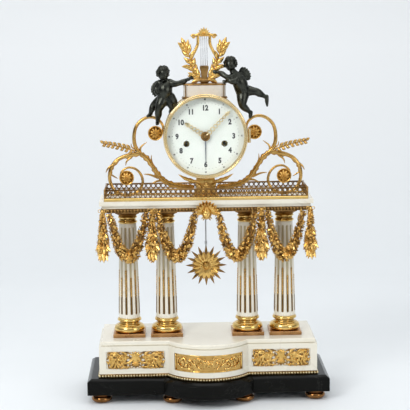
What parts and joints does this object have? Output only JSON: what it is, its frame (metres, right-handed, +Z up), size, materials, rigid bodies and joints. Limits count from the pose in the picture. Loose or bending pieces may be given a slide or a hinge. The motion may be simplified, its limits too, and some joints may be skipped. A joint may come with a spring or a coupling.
{
  "type": "portico mantel clock",
  "caption": "Portico mantel clock: drum movement on fluted marble columns over a bow-fronted base, with gilt scrolls, garlands, winged child figures, a lyre finial and a sunburst pendulum.",
  "frame": {"origin": "on the floor under the middle of the plinth's width and depth", "axes": "+Z up, +X to the right of the dial, -Y towards the viewer of the dial"},
  "size_m": [0.39, 0.188, 0.5994],
  "materials": {
    "black_marble": "polished",
    "white_marble": "polished",
    "gilt_bronze": "gilded, satin",
    "patinated_bronze": "dark patina",
    "brass": "polished",
    "steel": "satin",
    "blued_steel": "blued",
    "enamel": "glossy white",
    "glass": "clear"
  },
  "bodies": {
    "case": {"black_plinth": "black_marble", "bun_feet": "gilt_bronze", "base_block": "white_marble", "base_bead": "gilt_bronze", "base_slab": "white_marble", "panel_left": "gilt_bronze", "panel_centre": "gilt_bronze", "panel_right": "gilt_bronze", "column_bases": "gilt_bronze", "column_shaft_1": "white_marble", "column_shaft_2": "white_marble", "column_shaft_3": "white_marble", "column_shaft_4": "white_marble", "column_inlays": "gilt_bronze", "column_capitals": "gilt_bronze", "tie_rods": "steel", "leaf_frieze": "gilt_bronze", "entablature_slab": "white_marble", "gallery": "gilt_bronze", "mask": "gilt_bronze", "swag_1": "gilt_bronze", "swag_2": "gilt_bronze", "swag_3": "gilt_bronze", "swag_4": "gilt_bronze", "garland_drops": "gilt_bronze", "drum_foot": "gilt_bronze", "scroll_left": "gilt_bronze", "scroll_right": "gilt_bronze", "drum_case": "gilt_bronze", "hinge_pins": "brass", "dial": "enamel", "front_plate": "brass", "back_plate": "brass", "suspension_cock": "brass", "bell": "brass", "crest_block": "white_marble", "lyre_trophy": "gilt_bronze", "putto_left": "patinated_bronze", "putto_right": "patinated_bronze"},
    "front_door": {"front_bezel": "gilt_bronze", "bezel_glass": "glass"},
    "rear_door": {"back_door": "brass"},
    "minute": {"minute_hand": "gilt_bronze"},
    "hour": {"hour_hand": "gilt_bronze", "hour_wheel": "brass"},
    "calendar": {"calendar_hand": "blued_steel"},
    "minute_work": {"minute_wheel": "brass"},
    "going_drum": {"going_barrel": "brass"},
    "going_winder": {"going_arbor": "steel"},
    "strike_drum": {"strike_barrel": "brass"},
    "strike_winder": {"strike_arbor": "steel"},
    "idler": {"idler_wheel": "brass"},
    "centre": {"centre_wheel": "brass"},
    "third": {"third_wheel": "brass"},
    "escape": {"escape_wheel": "brass"},
    "striker": {"strike_wheel": "brass"},
    "pallet_anchor": {"anchor": "steel"},
    "pendulum": {"pendulum_rod": "steel", "sun_bob": "gilt_bronze"},
    "bell_hammer": {"hammer": "steel"}
  },
  "joints": [
    {"name": "pendulum_swing", "type": "hinge", "parent": "case", "child": "pendulum", "pos_m": [0, 0.0055, 0.465], "axis": [0, 1, 0], "range_deg": [-4, 4]},
    {"name": "anchor_rock", "type": "hinge", "parent": "case", "child": "pallet_anchor", "pos_m": [0, 0.0055, 0.465], "axis": [0, 1, 0], "range_deg": [-4, 4]},
    {"name": "front_bezel_open", "type": "hinge", "parent": "case", "child": "front_door", "pos_m": [0.0695, -0.031, 0.428], "axis": [0, 0, 1], "range_deg": [0, 110]},
    {"name": "rear_door_open", "type": "hinge", "parent": "case", "child": "rear_door", "pos_m": [0.068, 0.0442, 0.428], "axis": [0, 0, -1], "range_deg": [0, 110]},
    {"name": "minute_turn", "type": "hinge", "parent": "case", "child": "minute", "pos_m": [0, 0.0055, 0.428], "axis": [0, 1, 0], "continuous": true},
    {"name": "hour_turn", "type": "hinge", "parent": "case", "child": "hour", "pos_m": [0, 0.0055, 0.428], "axis": [0, 1, 0], "continuous": true},
    {"name": "calendar_turn", "type": "hinge", "parent": "case", "child": "calendar", "pos_m": [0, 0.0055, 0.428], "axis": [0, 1, 0], "continuous": true},
    {"name": "minute_wheel_turn", "type": "hinge", "parent": "case", "child": "minute_work", "pos_m": [0, 0.0055, 0.44], "axis": [0, 1, 0], "continuous": true},
    {"name": "escape_turn", "type": "hinge", "parent": "case", "child": "escape", "pos_m": [0, 0.0055, 0.452], "axis": [0, 1, 0], "continuous": true},
    {"name": "third_turn", "type": "hinge", "parent": "case", "child": "third", "pos_m": [0.0177, 0.0055, 0.44107], "axis": [0, 1, 0], "continuous": true},
    {"name": "centre_turn", "type": "hinge", "parent": "case", "child": "centre", "pos_m": [0, 0.0055, 0.428], "axis": [0, 1, 0], "continuous": true},
    {"name": "idler_turn", "type": "hinge", "parent": "case", "child": "idler", "pos_m": [0.00637, 0.0055, 0.41311], "axis": [0, 1, 0], "continuous": true},
    {"name": "going_barrel_turn", "type": "hinge", "parent": "case", "child": "going_drum", "pos_m": [0.0302, 0.0055, 0.416], "axis": [0, 1, 0], "continuous": true},
    {"name": "going_wind", "type": "hinge", "parent": "case", "child": "going_winder", "pos_m": [0.0302, 0.0055, 0.416], "axis": [0, 1, 0], "continuous": true},
    {"name": "strike_barrel_turn", "type": "hinge", "parent": "case", "child": "strike_drum", "pos_m": [-0.0302, 0.0055, 0.416], "axis": [0, 1, 0], "continuous": true},
    {"name": "strike_wheel_turn", "type": "hinge", "parent": "case", "child": "striker", "pos_m": [-0.02199, 0.0055, 0.43855], "axis": [0, 1, 0], "continuous": true},
    {"name": "strike_wind", "type": "hinge", "parent": "case", "child": "strike_winder", "pos_m": [-0.0302, 0.0055, 0.416], "axis": [0, 1, 0], "continuous": true},
    {"name": "hammer_swing", "type": "hinge", "parent": "case", "child": "bell_hammer", "pos_m": [-0.04, 0.0055, 0.448], "axis": [0, 1, 0], "range_deg": [0, 12], "stiffness_Nm_per_rad": 0.02, "springref_deg": -8.59}
  ],
  "couplings": [
    {"joint": "anchor_rock", "follows": "pendulum_swing", "ratio": 1},
    {"joint": "hour_turn", "follows": "minute_turn", "ratio": 0.083333},
    {"joint": "minute_wheel_turn", "follows": "minute_turn", "ratio": -0.33333},
    {"joint": "calendar_turn", "follows": "minute_turn", "ratio": 0.0013441},
    {"joint": "third_turn", "follows": "escape_turn", "ratio": -0.083333},
    {"joint": "centre_turn", "follows": "escape_turn", "ratio": 0.0083333},
    {"joint": "idler_turn", "follows": "escape_turn", "ratio": -0.0016667},
    {"joint": "going_barrel_turn", "follows": "escape_turn", "ratio": 0.0002381},
    {"joint": "strike_wheel_turn", "follows": "strike_barrel_turn", "ratio": -7}
  ]
}
